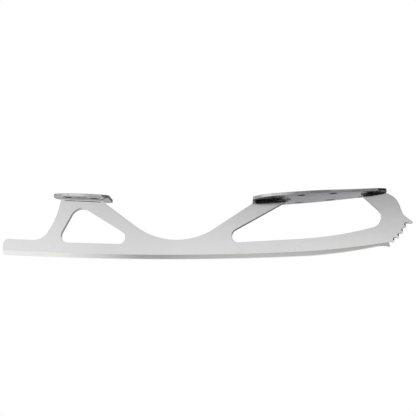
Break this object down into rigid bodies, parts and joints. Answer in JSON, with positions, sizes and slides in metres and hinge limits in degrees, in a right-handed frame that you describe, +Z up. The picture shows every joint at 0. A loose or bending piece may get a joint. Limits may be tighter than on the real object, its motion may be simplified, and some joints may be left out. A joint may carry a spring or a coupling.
{
  "type": "figure skate blade",
  "caption": "Figure skate blade: hollow-ground runner with toe picks and open stanchions, brazed to a heel plate and a sole plate that screw under a boot.",
  "frame": {"origin": "middle of the length and width, at the level of the ice that the runner touches", "axes": "+X from the tail to the toe picks, +Y to the left of the blade, +Z up from the ice to the boot plates"},
  "size_m": [0.3088, 0.0656, 0.0521],
  "materials": {
    "blade_chrome": "satin chrome with a bare ground band along the edge",
    "plate_chrome": "bright chrome",
    "braze": "chromed brazing bead"
  },
  "bodies": {
    "root": {"blade": "blade_chrome", "heel_plate": "plate_chrome", "sole_plate": "plate_chrome", "heel_braze_left": "braze", "heel_braze_right": "braze", "rear_braze_left": "braze", "rear_braze_right": "braze", "front_braze_left": "braze", "front_braze_right": "braze"}
  },
  "joints": []
}
